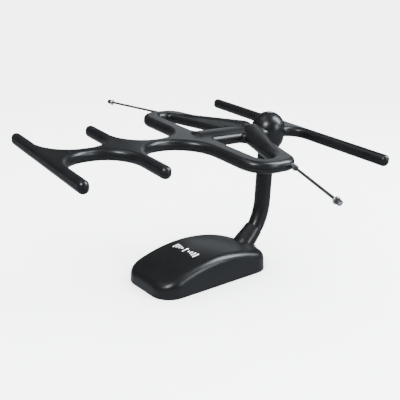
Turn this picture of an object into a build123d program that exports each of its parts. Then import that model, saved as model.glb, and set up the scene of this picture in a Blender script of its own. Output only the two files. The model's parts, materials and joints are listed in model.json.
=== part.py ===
"""Indoor television antenna: a yagi-shaped head on a ball joint, a folding arm and a weighted base.

Millimetres, +Z up, the centre of the base's underside at the origin. +Y is the rear, where the
arm stands, and the head reaches forward over the base towards -Y.
"""

import math
import os

from build123d import *

# Base cover: a rounded box with drafted walls and a top crowned both ways
BASE_HALF_WIDTH = 43.7
BASE_HALF_LENGTH = 79.4
BASE_CORNER = 24.0
BASE_LOW_EDGE = 0.3
BASE_DRAFT = 3.0
BASE_TOP = 36.2
CROWN_ACROSS = 260.0
CROWN_ALONG = 180.0
CROWN_Y = 5.0
COVER_WALL = 2.4
COVER_EDGE_ROUND = 10.0
FIT_GAP = 0.2
BOSS_RADIUS = 4.0
BOSS_BORE = 1.2
BOSS_DEPTH = 10.1

# Base plate and pad, with their screws as (x, y)
PAD_THICKNESS = 1.2
PAD_INSET = 4.0
PAD_HOLE = 3.6
PLATE_THICKNESS = 2.2
PLATE_TOP = PAD_THICKNESS + PLATE_THICKNESS
PLATE_INSET = COVER_WALL + 0.3
PLATE_HOLE = 1.8
COVER_SCREWS = [(x, y) for x in (-30, 30) for y in (-62, 62)]
PEDESTAL_SCREWS = [(-7, 58), (7, 58)]
BALLAST_SCREWS = [(0, -48), (0, 28)]
PLATE_SCREW_HEAD, PLATE_SCREW_HEIGHT = 3.0, 0.9
LONG_SCREW = 11.0
SHORT_SCREW = 7.5

# Ballast and circuit board
BALLAST_SIZE = (62.0, 92.0, 8.0)
BALLAST_CORNER = 6.0
BALLAST_Y = -10.0
BALLAST_TOP = PLATE_TOP + BALLAST_SIZE[2]
BALLAST_TAP_DEPTH = 6.1
STUD_RADIUS = 1.4
STUD_LENGTH = 3.8
STUD_TAP_DEPTH = 4.05
BOARD_SIZE = (54.0, 42.0, 1.6)
BOARD_Y = 14.0
BOARD_Z = 17.0
BOARD_TOP = BOARD_Z + BOARD_SIZE[2]
SPACER_SPOTS = [(x, BOARD_Y + y) for x in (-23, 23) for y in (-17, 17)]
SPACER_RADIUS = 2.6
BOARD_SCREW_RADIUS = 1.0
BOARD_SCREW_REACH = 2.6
BOARD_HOLE = 1.2
RING_SPOT = (10.0, BOARD_Y - 7)
RING_RADIUS, RING_BORE, RING_HEIGHT = 5.5, 2.6, 4.0

# Printed picture on the dome
MARK_Y = -19.5
MARK_WAVES = (6.5, 11.0, 15.5, 20.0)
MARK_LINE = 1.4
MARK_THICKNESS = 0.15

# Coaxial socket on the rear wall, along Y
JACK_Z = 10.5
JACK_RADIUS = 4.76
JACK_BORE = 3.6
JACK_START = 70.0
JACK_END = 90.9
GROOVE_START = 81.9
GROOVE_END = 82.5
GROOVE_DEPTH = 0.45
JACK_HEX_START, JACK_HEX_LENGTH, JACK_HEX_RADIUS = 71.0, 3.5, 6.4
NUT_LENGTH, NUT_RADIUS = 2.0, 6.6
INSULATOR_END = 84.0
CONTACT_START, CONTACT_END, CONTACT_RADIUS = 68.5, 83.5, 0.6
LEAD_RADIUS = 1.5

# Arm: a tube bent on an arc that starts below a nearly upright straight
ARM_RADIUS = 10.3
ARM_BORE = 7.8
ARM_LEAN = 3.4
BEND_RADIUS = 70.0
BEND_CENTRE = (31.2, 78.95)
PIVOT_ANGLE = 32.5
BORE_START_ANGLE = 21.5
LEAD_START_ANGLE = 19.5
ARM_LEAD_RADIUS = 1.6

# Knuckle at the foot of the arm, and the pedestal below it
FOOT_SLOPE = 44.0
SEAT_RADIUS = ARM_RADIUS + 0.4
COLLAR_START = 3.4
COLLAR_TOP_RADIUS = 11.3
COLLAR_FOOT_RADIUS = 13.2
FLARE_LENGTH = 26.0
FOOT_LENGTH = 38.0
LEG_HALF_WIDTH = 12.0
LEG_FRONT, LEG_REAR = 50.0, 66.0
LEG_TOP = 22.0
JACK_CEILING = 17.8
TONGUE_HALF = 3.45
TONGUE_RADIUS = ARM_RADIUS - 0.6
WEB_ROOT = 3.0
WEB_HALF_WIDTH = ARM_RADIUS - 1.2
SLOT_HALF = 3.75
SLOT_RADIUS = ARM_RADIUS + 0.4
PIN_RADIUS = 2.0
PIN_BORE = 2.05
PIN_SEAT = 8.0
PIN_HEAD_RADIUS, PIN_HEAD_HEIGHT = 2.9, 1.5
PIN_WELL_RADIUS = 3.1

# Head frame: its origin is the centre of the hub's round top
HUB_RADIUS = 20.3
HUB_DROP = 9.6
JOINT_Y = 106.0
JOINT_Z = 156.0
HEAD_ROLL = 7.0
HEAD_MID = -3.5
HEAD_HALF_HEIGHT = 6.4
HEAD_TOP = HEAD_MID + HEAD_HALF_HEIGHT
HEAD_UNDER = HEAD_MID - HEAD_HALF_HEIGHT
HEAD_EDGE_ROUND = 5.1
SHELL_INSET = 2.6
CAVITY_HALF_HEIGHT = 3.4
SEAM_HALF_HEIGHT = 0.5
SEAM_DEPTH = 0.8
HEAD_SPAN = 400.0

# Raised ridges on the head: a half-oval along the boom, and a tapering round on each rear arm
RIDGE_WALL = 2.9
BOOM_RIDGE_HALF_WIDTH, BOOM_RIDGE_HEIGHT = 15.6, 9.4
BOOM_RIDGE_END = 107.5
ARM_RIDGE_ROOT, ARM_RIDGE_ROOT_RADIUS = (8.0, 34.0), 13.6
ARM_RIDGE_TIP, ARM_RIDGE_TIP_RADIUS = (92.0, 73.8), 6.7

# Ball joint, all concentric
CORE_RADIUS = 14.0
CORE_FLAT = 1.0
CORE_BORE = 4.0
LINER_INNER = 14.3
LINER_OUTER = 16.0
SOCKET_RADIUS = 16.3
CUP_RADIUS = HUB_RADIUS + 0.4
SOCKET_MOUTH_ANGLE = 46.0
LINER_TOP_ANGLE = 66.0
NECK_RADIUS = 5.0
POST_RADIUS = 3.95
POST_BORE = 1.9
POST_TOP = 9.0
CUP_OVERLAP = 2.4
CUP_FLOOR = 4.0
NECK_LENGTH = 12.0
WASHER_RADIUS, WASHER_THICKNESS = 5.8, 1.0
CLIP_LEVEL = POST_TOP - 1.5
CLIP_RADIUS = 5.0
CLIP_THICKNESS = 0.8
CLIP_BORE = 3.2
COUNTERBORE_RADIUS = 6.6
COUNTERBORE_FLOOR = 6.0

# Clamp in the hub's top, heights above the head frame's origin or the joint's centre
PAD_RADIUS = 8.5
PAD_TOP = 15.5
PAD_CAP = 1.2
CLAMP_SHANK = 2.0
CLAMP_SEAT = 17.2
CLAMP_HEAD_RADIUS, CLAMP_HEAD_HEIGHT = 4.0, 2.4
CLAMP_WELL_RADIUS = 4.6

# Screws and props inside the head, as (across, forward); the props are on both sides
HEAD_SCREWS = [(0, 246), (0, 160), (0, 90), (72, 114.4), (-72, 114.4)]
HEAD_SCREW_RADIUS = 1.15
HEAD_SCREW_LENGTH = 7.0
HEAD_SCREW_DEPTH = 9.5
HEAD_SCREW_REACH = 20.0
HEAD_BOSS_RADIUS = 3.2
HEAD_WELL_RADIUS, HEAD_WELL_DEPTH = 2.4, 2.0
FRONT_BAR, SECOND_BAR, REAR_BAR, LOOP_FRONT = 285.0, 201.75, -36.3, 107.5
PROP_RADIUS = 1.3
PROPS = [
    (60, FRONT_BAR),
    (25, FRONT_BAR),
    (60, SECOND_BAR),
    (20, SECOND_BAR),
    (85, LOOP_FRONT),
    (40, LOOP_FRONT),
    (50, 59.6),
    (90, 74.5),
    (130, REAR_BAR),
    (80, REAR_BAR),
    (40, REAR_BAR),
]

# Flat metal elements inside the head
ELEMENT_THICKNESS = 1.2
FRONT_STRIP, SECOND_STRIP, REAR_STRIP = (154.0, 4.2), (152.0, 4.4), (288.0, 4.4)
DIPOLE_WIDTH = 5.0
DIPOLE_MIDDLE = (9.0, 44.3)
DIPOLE_CORNER = (105.1, 80.2)
DIPOLE_FRONT = (99.4, LOOP_FRONT)
BALUN_BOARD_SIZE, BALUN_BOARD_FORWARD = (22.0, 30.0, 1.0), 57.0
BALUN_CORE_SIZE, BALUN_CORE_FORWARD = (9.0, 7.0, 3.2), 62.0
BALUN_HOLE_X, BALUN_HOLE_RADIUS = 2.1, 0.9

# Telescopic rods, along a line that leaves the head's centre plane at ROD_APEX
ROD_APEX = 28.2
ROD_ANGLE = 21.75
ROD_START = 41.0
ROD_MOUTH = 129.4
FERRULE_LENGTH, FERRULE_RADIUS = 5.6, 3.2
OUTER_RADIUS = 2.6
OUTER_BORE = 2.12
MIDDLE_RADIUS = 2.05
MIDDLE_BORE = 1.6
MIDDLE_START = 48.0
MIDDLE_LIP_START, MIDDLE_LIP_END = ROD_MOUTH + 0.3, ROD_MOUTH + 1.5
MIDDLE_LIP_RADIUS = MIDDLE_RADIUS + 0.2
INNER_RADIUS = 1.53
INNER_START = 121.0
TIP_START = 213.2
TIP_END = 220.0
COLLAR_RADIUS = 4.0
COLLAR_LOW, COLLAR_HIGH = TIP_START - 0.6, TIP_START + 1.5
KNOB_RADIUS = 2.9
COLLAR_EDGE_ROUND, KNOB_EDGE_ROUND = 0.5, 0.6

NEAR, FAR = 1, -1
SIDES = {"near": NEAR, "far": FAR}
SEATED = (Align.CENTER, Align.CENTER, Align.MIN)
HANGING = (Align.CENTER, Align.CENTER, Align.MAX)


def hull_outline():
    """Half of the head's plan, from front to rear, as (across, forward, corner radius)."""
    return [
        (81.6, 290.4, 5.3),
        (81.6, 279.6, 5.3),
        (6.9, 279.6, 33.0),
        (6.9, 207.6, 33.0),
        (80.8, 207.6, 5.7),
        (80.8, 195.9, 5.7),
        (6.9, 195.9, 33.0),
        (6.9, 121.1, 38.0),
        (113.6, 121.1, 28.0),
        (113.6, 64.6, 21.0),
        (53.0, 43.8, 60.0),
        (15.0, 21.9, 4.0),
        (15.0, -30.5, 18.0),
        (149.2, -30.4, 5.7),
        (149.2, -42.1, 5.7),
    ]


def window_outline():
    """One window of the loop, as (across, forward, corner radius)."""
    return [
        (16.0, 101.0, 5.0),
        (96.9, 101.0, 8.0),
        (96.9, 83.1, 8.0),
        (16.0, 52.6, 4.0),
    ]


def rounded_face(corners):
    """A face from a closed polygon whose corners each have their own radius."""
    count = len(corners)
    starts = []
    for i, (x, y, radius) in enumerate(corners):
        here = Vector(x, y)
        before = Vector(*corners[i - 1][:2]) - here
        after = Vector(*corners[(i + 1) % count][:2]) - here
        half = math.radians(before.get_angle(after)) / 2
        reach = radius / math.tan(half)
        inward = (before.normalized() + after.normalized()).normalized()
        middle = here + inward * (radius / math.sin(half) - radius)
        starts.append((here + before.normalized() * reach, middle, here + after.normalized() * reach))
    edges = []
    for i, (begin, middle, end) in enumerate(starts):
        edges.append(ThreePointArc(begin, middle, end))
        following = starts[(i + 1) % count][0]
        if (following - end).length > 1e-4:
            edges.append(Line(end, following))
    return make_face(Wire(edges))


def mirrored(corners):
    """The whole closed outline from its right half. Forward is -Y."""
    right = [(x, -y, r) for x, y, r in corners]
    left = [(-x, y, r) for x, y, r in reversed(right)]
    return right + left


def head_plan(inset=0.0):
    """The head's plan with its two windows, drawn in by the inset all round."""
    face = rounded_face(mirrored(hull_outline()))
    holes = [
        rounded_face([(side * x, -y, r) for x, y, r in window_outline()])
        for side in (NEAR, FAR)
    ]
    if inset:
        face = offset(face, -inset, kind=Kind.ARC)
        holes = [offset(hole, inset, kind=Kind.ARC) for hole in holes]
    for hole in holes:
        face -= hole
    return face


def slab(face, low, high):
    """The face, lying on z = 0, extruded from low to high."""
    return extrude(Pos(0, 0, low) * face, high - low, dir=(0, 0, 1))


def cylinder_between(start, end, radius, end_radius=None):
    """A cylinder or cone between two points."""
    start, end = Vector(*start), Vector(*end)
    plane = Plane(origin=start, z_dir=end - start)
    length = (end - start).length
    if end_radius is None:
        body = Cylinder(radius, length, align=SEATED)
    else:
        body = Cone(radius, end_radius, length, align=SEATED)
    return plane.location * body


def group(solids):
    """Separate solids kept as one node."""
    return Compound(children=[solid for item in solids for solid in item.solids()])


def write(name, shape):
    """One node to its own file."""
    export_step(shape, f"parts/{name}.step")
    print(name, len(shape.solids()))


# ---------------------------------------------------------------- base

def base_face(inset):
    """The base's plan, moved in by the inset."""
    half_width, half_length = BASE_HALF_WIDTH - inset, BASE_HALF_LENGTH - inset
    return RectangleRounded(2 * half_width, 2 * half_length, BASE_CORNER - inset)


def crown(inset):
    """A block crowned both ways, whose top is the base's domed surface moved in by the inset."""
    reach, depth, spread = BASE_HALF_LENGTH + 20, 30.0, 30.0
    top, along = BASE_TOP - inset, CROWN_ALONG - inset
    drop = along - math.sqrt(along**2 - reach**2)
    front, rear = CROWN_Y - reach, CROWN_Y + reach
    arc = ThreePointArc((0, front, top - drop), (0, CROWN_Y, top), (0, rear, top - drop))
    foot = Polyline(arc @ 1, (0, rear, -depth), (0, front, -depth), arc @ 0)
    axis = Axis((0, 0, BASE_TOP - CROWN_ACROSS), (0, 1, 0))
    block = revolve(make_face(Wire([arc, *foot.edges()])), axis, spread)
    return block.rotate(axis, -spread / 2)


def base_block(inset, low):
    """The base's outer form, or its hollow when the inset is the wall."""
    walls = extrude(Pos(0, 0, low) * base_face(inset), BASE_TOP + 5, dir=(0, 0, 1), taper=BASE_DRAFT)
    return walls & crown(inset)


def domed_block(inset=0.0, low=BASE_LOW_EDGE):
    """The base's form with its upper edge rounded."""
    block = base_block(inset, low)
    rim = [edge for edge in block.edges() if edge.bounding_box().min.Z > low + 8 and not is_upright(edge)]
    return fillet(rim, COVER_EDGE_ROUND - inset)


def is_upright(edge):
    box = edge.bounding_box()
    return box.size.Z > 2 * max(box.size.X, box.size.Y)


def knuckle_point():
    """The arm's pivot, at the foot of its bend."""
    return bend_point(PIVOT_ANGLE)


def foot_point(distance):
    """A point on the pedestal's straight axis, a distance below the pivot."""
    slope = math.radians(FOOT_SLOPE)
    return knuckle_point() - Vector(0, math.cos(slope), math.sin(slope)) * distance


def pedestal_form(gap=0.0):
    """The flared neck that stands out of the base, grown by the gap."""
    flare = cylinder_between(
        foot_point(COLLAR_START),
        foot_point(FLARE_LENGTH),
        COLLAR_TOP_RADIUS + gap,
        COLLAR_FOOT_RADIUS + gap,
    )
    root = cylinder_between(foot_point(FLARE_LENGTH), foot_point(FOOT_LENGTH), COLLAR_FOOT_RADIUS + gap)
    jack_room = Pos(0, LEG_REAR + 0.5, JACK_CEILING - gap) * Box(
        60, 60, 60, align=(Align.CENTER, Align.MIN, Align.MAX)
    )
    return flare + root - jack_room


def pedestal():
    """The lower knuckle: a round seat for the arm's end, a tongue for the pin and a leg to the plate."""
    pivot = knuckle_point()
    leg_y = (LEG_FRONT + LEG_REAR) / 2
    leg = Box(2 * LEG_HALF_WIDTH, LEG_REAR - LEG_FRONT, LEG_TOP - PLATE_TOP, align=SEATED)
    body = pedestal_form() + Pos(0, leg_y, PLATE_TOP) * leg
    body -= Pos(*pivot) * Sphere(SEAT_RADIUS)
    web_length = SEAT_RADIUS + WEB_ROOT
    web_foot = foot_point(web_length)
    web_plane = Plane(origin=(pivot + web_foot) / 2, x_dir=(1, 0, 0), z_dir=pivot - web_foot)
    web = web_plane.location * Box(2 * TONGUE_HALF, 2 * WEB_HALF_WIDTH, web_length)
    body += cylinder_across(TONGUE_HALF, TONGUE_RADIUS) + web
    body -= cylinder_across(2 * TONGUE_RADIUS, PIN_BORE)
    for x, y in PEDESTAL_SCREWS:
        body -= Pos(x, y, PLATE_TOP) * Cylinder(BOSS_BORE, 2 * BOSS_DEPTH)
    return body


def cylinder_across(half_length, radius):
    """A cylinder on the pivot's axis, centred on the arm."""
    reach = Vector(half_length, 0, 0)
    return cylinder_between(knuckle_point() - reach, knuckle_point() + reach, radius)


def base_cover():
    """The shell, with a boss for each screw and holes for the pedestal and the socket."""
    cover = domed_block() - domed_block(COVER_WALL, BASE_LOW_EDGE - 2)
    roof = base_block(COVER_WALL / 2, BASE_LOW_EDGE)
    for x, y in COVER_SCREWS:
        boss = Pos(x, y, PLATE_TOP) * Cylinder(BOSS_RADIUS, BASE_TOP, align=SEATED)
        cover += boss & roof
        cover -= Pos(x, y, PLATE_TOP) * Cylinder(BOSS_BORE, 2 * BOSS_DEPTH)
    cover -= pedestal_form(gap=FIT_GAP)
    rear_wall = Pos(0, BASE_HALF_LENGTH, JACK_Z) * Rot(90, 0, 0)
    cover -= rear_wall * Cylinder(JACK_RADIUS + FIT_GAP / 2, BASE_CORNER)
    return cover


def base_plate():
    plate = slab(base_face(PLATE_INSET), PAD_THICKNESS, PLATE_TOP)
    for x, y in COVER_SCREWS + PEDESTAL_SCREWS + BALLAST_SCREWS:
        plate -= Pos(x, y, PLATE_TOP) * Cylinder(PLATE_HOLE, 2 * PLATE_THICKNESS + 1)
    return plate


def ballast_weight():
    """A block of metal on the plate, tapped from below for its screws and from above for the spacers."""
    block = Pos(0, BALLAST_Y, PLATE_TOP) * Box(*BALLAST_SIZE, align=SEATED)
    block = fillet(block.edges().filter_by(Axis.Z), BALLAST_CORNER)
    for x, y in BALLAST_SCREWS:
        block -= Pos(x, y, PLATE_TOP) * Cylinder(STUD_RADIUS, 2 * BALLAST_TAP_DEPTH)
    for x, y in SPACER_SPOTS:
        block -= Pos(x, y, BALLAST_TOP) * Cylinder(STUD_RADIUS, 2 * STUD_TAP_DEPTH)
    return block


def non_slip_pad():
    pad = slab(base_face(PAD_INSET), 0, PAD_THICKNESS)
    for x, y in COVER_SCREWS + PEDESTAL_SCREWS + BALLAST_SCREWS:
        pad -= Pos(x, y, 0) * Cylinder(PAD_HOLE, 3 * PAD_THICKNESS)
    return pad


def cross_screw(head_radius, head_height, shank_radius, length):
    """A pan head whose underside is at z = 0, its shank going down, with a cross recess."""
    head = Cylinder(head_radius, head_height, align=SEATED)
    head = fillet(head.edges().group_by(Axis.Z)[-1], head_height * 0.45)
    screw = head + Cylinder(shank_radius, length, align=HANGING)
    recess = Box(head_radius * 1.2, head_radius * 0.28, head_height)
    for turn in (0, 90):
        screw -= Pos(0, 0, head_height) * Rot(0, 0, turn) * recess
    return screw


def plate_screws(spots, length):
    """Screws that come up through the base plate."""
    screw = Rot(180, 0, 0) * cross_screw(PLATE_SCREW_HEAD, PLATE_SCREW_HEIGHT, BOSS_BORE, length)
    return group([Pos(x, y, PAD_THICKNESS) * screw for x, y in spots])


def board_spacers():
    """Hexagonal pillars with a stud below and a tapped hole above."""
    height = BOARD_Z - BALLAST_TOP
    pillar = extrude(RegularPolygon(SPACER_RADIUS, 6), height)
    pillar += Cylinder(STUD_RADIUS, STUD_LENGTH, align=HANGING)
    pillar -= Pos(0, 0, height) * Cylinder(BOARD_SCREW_RADIUS, 2 * BOARD_SCREW_REACH + 1)
    return group([Pos(x, y, BALLAST_TOP) * pillar for x, y in SPACER_SPOTS])


def circuit_board():
    board = Pos(0, BOARD_Y, BOARD_Z) * Box(*BOARD_SIZE, align=SEATED)
    for x, y in SPACER_SPOTS:
        board -= Pos(x, y, BOARD_Z) * Cylinder(BOARD_HOLE, 4 * BOARD_SIZE[2])
    return board


def board_screws():
    screw = cross_screw(2.2, 1.2, BOARD_SCREW_RADIUS, BOARD_SIZE[2] + BOARD_SCREW_REACH)
    return group([Pos(x, y, BOARD_TOP) * screw for x, y in SPACER_SPOTS])


def board_parts():
    """Small parts soldered on the board: a chip, three capacitors and four resistors."""
    parts = [Pos(-12, BOARD_Y + 8, BOARD_TOP) * Box(9, 7, 1.8, align=SEATED)]
    for index in range(3):
        spot = Pos(6 + 5.5 * index, BOARD_Y + 11, BOARD_TOP)
        parts.append(spot * Cylinder(2.1, 6.0, align=SEATED))
    for index in range(4):
        spot = Pos(-16 + 5 * index, BOARD_Y - 6, BOARD_TOP)
        parts.append(spot * Box(3.2, 1.6, 1.0, align=SEATED))
    return group(parts)


def matching_transformer():
    """A wound ferrite ring lying on the board."""
    ring = Cylinder(RING_RADIUS, RING_HEIGHT, align=SEATED) - Cylinder(RING_BORE, 4 * RING_HEIGHT)
    return Pos(*RING_SPOT, BOARD_TOP) * ring


def along_jack(start, end, radius):
    """A cylinder on the socket's axis."""
    return cylinder_between((0, start, JACK_Z), (0, end, JACK_Z), radius)


def jack_hexagon(start, length, radius):
    """A hexagon on the socket's axis."""
    place = Plane(origin=(0, start, JACK_Z), z_dir=(0, 1, 0)).location
    return place * extrude(RegularPolygon(radius, 6), length)


def coax_jack():
    """The threaded barrel with its relief groove, the hexagon behind the wall and the bore."""
    barrel = along_jack(JACK_START, JACK_END, JACK_RADIUS)
    groove = along_jack(GROOVE_START, GROOVE_END, JACK_RADIUS + 1)
    barrel -= groove - along_jack(JACK_START, JACK_END, JACK_RADIUS - GROOVE_DEPTH)
    barrel += jack_hexagon(JACK_HEX_START, JACK_HEX_LENGTH, JACK_HEX_RADIUS)
    return barrel - along_jack(JACK_START - 1, JACK_END + 1, JACK_BORE)


def jack_nut():
    nut = jack_hexagon(BASE_HALF_LENGTH, NUT_LENGTH, NUT_RADIUS)
    return nut - along_jack(JACK_START, JACK_END, JACK_RADIUS)


def jack_insulator():
    plug = along_jack(JACK_START, INSULATOR_END, JACK_BORE)
    return plug - along_jack(JACK_START - 1, INSULATOR_END + 1, CONTACT_RADIUS)


def jack_contact():
    return along_jack(CONTACT_START, CONTACT_END, CONTACT_RADIUS)


def jack_lead():
    """The coaxial lead from the board's rear edge round the leg to the socket."""
    path = Spline(
        (-17, BOARD_Y + BOARD_SIZE[1] / 2 + LEAD_RADIUS + 0.1, BOARD_Z + BOARD_SIZE[2] / 2),
        (-18, 52, 15),
        (-14.5, 66, 11),
        (-4, 68.3, JACK_Z),
        tangents=[(0, 1, 0), (1, 0, 0)],
    )
    return sweep(Plane(origin=path @ 0, z_dir=path % 0) * Circle(LEAD_RADIUS), path)


def printed_mark():
    """A plain picture of an aerial with waves to both sides, printed on the dome."""
    picture = Pos(0, -1.2) * Rectangle(1.1, 7.4) + Pos(0, 2.6) * Circle(1.6)
    wedge = make_face(Polyline((0, 0), (40, 9.5), (40, -9.5), close=True))
    for radius in MARK_WAVES:
        ring = Circle(radius + MARK_LINE / 2) - Circle(radius - MARK_LINE / 2)
        picture += ring & (wedge + Rot(0, 0, 180) * wedge)
    column = extrude(Pos(0, MARK_Y) * picture, BASE_TOP + 10, dir=(0, 0, 1))
    skin = crown(-MARK_THICKNESS) - crown(0)
    return group([column & skin])


# ---------------------------------------------------------------- arm

def joint_point():
    return Vector(0, JOINT_Y, JOINT_Z)


def arm_direction():
    lean = math.radians(ARM_LEAN)
    return Vector(0, math.sin(lean), math.cos(lean))


def bend_point(degrees):
    """A point on the bend's centre line, from ARM_LEAN at its top to PIVOT_ANGLE at its foot."""
    angle = math.radians(degrees)
    return Vector(0, *BEND_CENTRE) + Vector(0, math.cos(angle), -math.sin(angle)) * BEND_RADIUS


def arm_path(start_angle, top_distance):
    """The tube's centre line, from an angle on the bend to a distance short of the ball joint."""
    points = [bend_point(angle) for angle in (start_angle, (start_angle + ARM_LEAN) / 2, ARM_LEAN)]
    top = joint_point() - arm_direction() * top_distance
    return Wire([ThreePointArc(*points), Line(points[-1], top)])


def swept(radius, path):
    """A round bar along a path."""
    section = Plane(origin=path @ 0, z_dir=path % 0) * Circle(radius)
    return sweep(section, path, transition=Transition.ROUND)


def joint_location():
    """The ball joint's place, with Z along the arm's straight."""
    return Location(tuple(joint_point()), (-ARM_LEAN, 0, 0))


def arm_tube():
    """The bent tube: a forked ball end at the pivot and a cup with a post under the joint."""
    pivot = knuckle_point()
    body = swept(ARM_RADIUS, arm_path(PIVOT_ANGLE, CUP_RADIUS - CUP_OVERLAP))
    body += Pos(*pivot) * Sphere(ARM_RADIUS)
    body -= Pos(*joint_point()) * Sphere(CUP_RADIUS)
    neck = Pos(0, 0, CORE_FLAT - CORE_RADIUS - 0.1) * Cylinder(NECK_RADIUS, NECK_LENGTH, align=HANGING)
    post = Pos(0, 0, -CORE_RADIUS) * Cylinder(POST_RADIUS, CORE_RADIUS + POST_TOP, align=SEATED)
    clip_groove = Cylinder(POST_RADIUS + 1, CLIP_THICKNESS) - Cylinder(CLIP_BORE, 2)
    post -= Pos(0, 0, CLIP_LEVEL) * clip_groove
    body += joint_location() * (neck + post)
    body -= swept(ARM_BORE, arm_path(BORE_START_ANGLE, CUP_RADIUS + CUP_FLOOR))
    lead_hole = Cylinder(POST_BORE, CUP_RADIUS + POST_TOP + 20, align=HANGING)
    body -= joint_location() * Pos(0, 0, POST_TOP) * lead_hole
    body -= cylinder_across(SLOT_HALF, SLOT_RADIUS)
    body -= cylinder_across(ARM_RADIUS + 2, PIN_RADIUS)
    for side in (NEAR, FAR):
        seat = pivot + Vector(side * PIN_SEAT, 0, 0)
        body -= cylinder_between(seat, pivot + Vector(side * 12, 0, 0), PIN_WELL_RADIUS)
    return body


def arm_lead():
    """The coaxial lead inside the tube and the hollow post."""
    return swept(ARM_LEAD_RADIUS, arm_path(LEAD_START_ANGLE, 1.0 - POST_TOP))


def pivot_pin():
    """The knuckle's pin, a cross head at one end."""
    screw = cross_screw(PIN_HEAD_RADIUS, PIN_HEAD_HEIGHT, PIN_RADIUS, 2 * PIN_SEAT)
    return Pos(*(knuckle_point() + Vector(PIN_SEAT, 0, 0))) * Rot(0, 90, 0) * screw


def pivot_nut():
    nut = extrude(RegularPolygon(PIN_HEAD_RADIUS, 6), PIN_HEAD_HEIGHT) - Cylinder(PIN_RADIUS, 8)
    rim = knuckle_point() - Vector(PIN_SEAT, 0, 0)
    return Plane(origin=rim, z_dir=(-1, 0, 0)).location * nut


def swivel_washer():
    ring = Cylinder(WASHER_RADIUS, WASHER_THICKNESS, align=SEATED) - Cylinder(CORE_BORE, 4)
    return joint_location() * Pos(0, 0, COUNTERBORE_FLOOR + 0.1) * ring


def swivel_clip():
    ring = Cylinder(CLIP_RADIUS, CLIP_THICKNESS - 0.1) - Cylinder(CLIP_BORE, 2)
    opening = Pos(0, -4, 0) * Box(3, 6, 2)
    return joint_location() * Pos(0, 0, CLIP_LEVEL) * (ring - opening)


# ---------------------------------------------------------------- ball joint

def ball_core():
    """The turning ball: bored for the post, with a flat underside and a counterbore on top."""
    ball = Sphere(CORE_RADIUS) - Cylinder(CORE_BORE, 3 * CORE_RADIUS)
    ball -= Pos(0, 0, COUNTERBORE_FLOOR) * Cylinder(COUNTERBORE_RADIUS, CORE_RADIUS, align=SEATED)
    ball -= Pos(0, 0, CORE_FLAT - CORE_RADIUS) * Cylinder(CORE_RADIUS, CORE_RADIUS, align=HANGING)
    return joint_location() * ball


def mouth_cone(angle, reach):
    """A cone whose point is at the joint's centre, opening downwards."""
    radius = reach * math.tan(math.radians(angle))
    return Cone(radius, 0.01, reach, align=HANGING)


def ball_liner():
    """The friction ring between ball and socket."""
    ring = Sphere(LINER_OUTER) - Sphere(LINER_INNER)
    ring -= mouth_cone(SOCKET_MOUTH_ANGLE, 30)
    ring -= Rot(180, 0, 0) * mouth_cone(LINER_TOP_ANGLE, 20)
    return joint_location() * ring


# ---------------------------------------------------------------- head

def head_location():
    """The head frame: rolled about its length, with the ball joint below its origin."""
    roll = math.radians(HEAD_ROLL)
    origin = joint_point() + Vector(math.sin(roll), 0, math.cos(roll)) * HUB_DROP
    return Location(tuple(origin), (0, HEAD_ROLL, 0))


def hub_form():
    """The upright capsule at the head's centre."""
    barrel = Cylinder(HUB_RADIUS, HUB_DROP, align=HANGING)
    return Sphere(HUB_RADIUS) + barrel + Pos(0, 0, -HUB_DROP) * Sphere(HUB_RADIUS)


def boom_ridge(inset):
    """The half-oval along the boom, moved in by the inset."""
    height = BOOM_RIDGE_HEIGHT - inset
    widening = (BOOM_RIDGE_HALF_WIDTH - inset) / height
    bar = Rot(90, 0, 0) * Cylinder(height, BOOM_RIDGE_END, align=SEATED)
    bullet = bar + Pos(0, -BOOM_RIDGE_END, 0) * Sphere(height)
    return scale(bullet, by=(widening, 1, 1)).solid()


def arm_ridge(side, inset):
    """The tapering round on one rear arm of the loop: two balls and the cone that touches both."""
    root = Vector(side * ARM_RIDGE_ROOT[0], -ARM_RIDGE_ROOT[1], 0)
    tip = Vector(side * ARM_RIDGE_TIP[0], -ARM_RIDGE_TIP[1], 0)
    root_radius, tip_radius = ARM_RIDGE_ROOT_RADIUS - inset, ARM_RIDGE_TIP_RADIUS - inset
    sine = (root_radius - tip_radius) / (tip - root).length
    cosine = math.sqrt(1 - sine**2)
    along = (tip - root).normalized()
    start, end = root + along * root_radius * sine, tip + along * tip_radius * sine
    cone = cylinder_between(start, end, root_radius * cosine, tip_radius * cosine)
    return (cone + Pos(*root) * Sphere(root_radius) + Pos(*tip) * Sphere(tip_radius)).solid()


def ridges(inset=0.0):
    """The raised ridges, standing on the plane where the shells meet."""
    above = Box(HEAD_SPAN, HEAD_SPAN, HEAD_SPAN, align=SEATED)
    rounds = [boom_ridge(inset), arm_ridge(NEAR, inset), arm_ridge(FAR, inset)]
    return [Pos(0, 0, HEAD_MID) * (ridge & above) for ridge in rounds]


def head_form():
    """The outside of the whole head: a plate with strongly rounded edges, ridges and the hub."""
    plate = slab(head_plan(), HEAD_UNDER, HEAD_TOP)
    levels = plate.edges().group_by(Axis.Z)
    plate = fillet(levels[-1] + levels[0], HEAD_EDGE_ROUND)
    for ridge in ridges():
        plate += ridge
    return plate + hub_form()


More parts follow.
